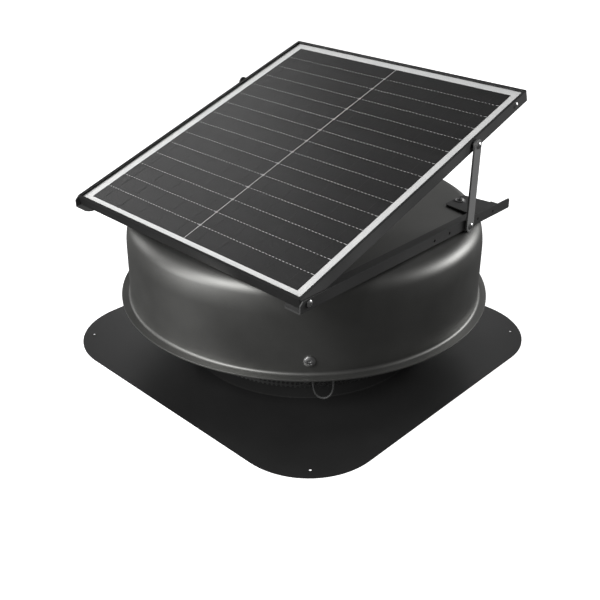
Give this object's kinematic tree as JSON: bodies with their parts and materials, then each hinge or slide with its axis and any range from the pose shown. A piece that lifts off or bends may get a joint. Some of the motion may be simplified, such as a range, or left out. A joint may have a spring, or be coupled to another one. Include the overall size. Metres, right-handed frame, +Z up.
{
  "type": "solar attic fan",
  "caption": "Roof-mounted solar attic fan: square flashing with a collar, axial fan under a round rain hood, and a tilting solar panel on two rails held up by side struts.",
  "frame": {"origin": "centre of the flashing's underside, on the roof surface", "axes": "+Z up out of the roof, +Y from the panel's hinge edge towards its raised edge, +X to the right seen from the hinge edge"},
  "size_m": [0.5804, 0.5804, 0.4171],
  "materials": {
    "flashing_paint": "satin black powder coat",
    "hood_paint": "satin black powder coat",
    "rail_paint": "satin black powder coat",
    "bracket_paint": "satin black powder coat",
    "mesh_paint": "matt black coated perforated steel",
    "frame_black": "black anodised",
    "panel_glass": "low-iron tempered glass",
    "cell": "monocrystalline silicon",
    "backsheet_white": "white backsheet",
    "black_plastic": "moulded black plastic",
    "black_rubber": "black rubber",
    "lead_jacket": "black cable jacket",
    "bright_fastener": "bright zinc-plated steel",
    "zinc_fastener": "zinc-plated steel",
    "motor_case": "die-cast aluminium",
    "bearing_steel": "ground steel",
    "stator_iron": "laminated iron with windings",
    "magnet": "ferrite magnet ring",
    "blade_metal": "formed aluminium sheet"
  },
  "bodies": {
    "root": {"base_flashing": "flashing_paint", "mesh_guard": "mesh_paint", "mesh_screws": "zinc_fastener", "hood_bracket_1": "bracket_paint", "hood_bracket_2": "bracket_paint", "hood_bracket_3": "bracket_paint", "hood_bracket_4": "bracket_paint", "collar_rivets": "zinc_fastener", "motor_plate": "bracket_paint", "plate_screws": "zinc_fastener", "motor_housing": "motor_case", "motor_end_bell": "motor_case", "motor_bearings": "bearing_steel", "motor_stator": "stator_iron", "hood_shell": "hood_paint", "hood_screws": "bright_fastener", "hood_nuts": "zinc_fastener", "lead_grommet": "black_rubber", "rail_left": "rail_paint", "rail_right": "rail_paint", "rail_pads": "black_rubber", "rail_washers": "bright_fastener", "rail_bolts": "bright_fastener", "rail_nuts": "zinc_fastener", "pivot_bolts": "bright_fastener", "pivot_spacers": "black_plastic", "controller_box": "black_plastic", "controller_lid": "black_plastic", "lead_gland": "black_plastic", "power_lead": "lead_jacket", "lead_socket": "black_plastic", "lead_clip": "bracket_paint"},
    "panel": {"frame_front": "frame_black", "frame_rear": "frame_black", "frame_left": "frame_black", "frame_right": "frame_black", "corner_keys": "zinc_fastener", "panel_glass": "panel_glass", "solar_cells": "cell", "panel_backsheet": "backsheet_white", "junction_box": "black_plastic", "junction_lid": "black_plastic", "junction_gland": "black_plastic", "hinge_bolts": "bright_fastener", "hinge_nuts": "zinc_fastener", "strut_spacers": "black_plastic", "spare_bolts": "bright_fastener"},
    "strut_l": {"strut_left": "rail_paint", "strut_bolt_left": "bright_fastener"},
    "strut_r": {"strut_right": "rail_paint", "strut_bolt_right": "bright_fastener"},
    "rotor": {"motor_shaft": "bearing_steel", "rotor_magnets": "magnet", "fan_hub": "blade_metal", "fan_blade_1": "blade_metal", "fan_blade_2": "blade_metal", "fan_blade_3": "blade_metal", "fan_blade_4": "blade_metal", "fan_blade_5": "blade_metal", "blade_rivets": "zinc_fastener"}
  },
  "joints": [
    {"name": "panel_tilt", "type": "hinge", "parent": "root", "child": "panel", "pos_m": [0, -0.243, 0.246], "axis": [1, 0, 0], "range_deg": [-17.5, 0]},
    {"name": "strut_left_swing", "type": "hinge", "parent": "root", "child": "strut_l", "pos_m": [-0.2394, 0.094, 0.2418], "axis": [1, 0, 0], "range_deg": [0, 87.5]},
    {"name": "strut_right_swing", "type": "hinge", "parent": "root", "child": "strut_r", "pos_m": [0.2394, 0.094, 0.2418], "axis": [1, 0, 0], "range_deg": [0, 87.5]},
    {"name": "fan_spin", "type": "hinge", "parent": "root", "child": "rotor", "pos_m": [0, 0, 0.036], "axis": [0, 0, 1], "continuous": true}
  ],
  "couplings": [
    {"joint": "strut_left_swing", "follows": "panel_tilt", "ratio": -5},
    {"joint": "strut_right_swing", "follows": "panel_tilt", "ratio": -5}
  ]
}
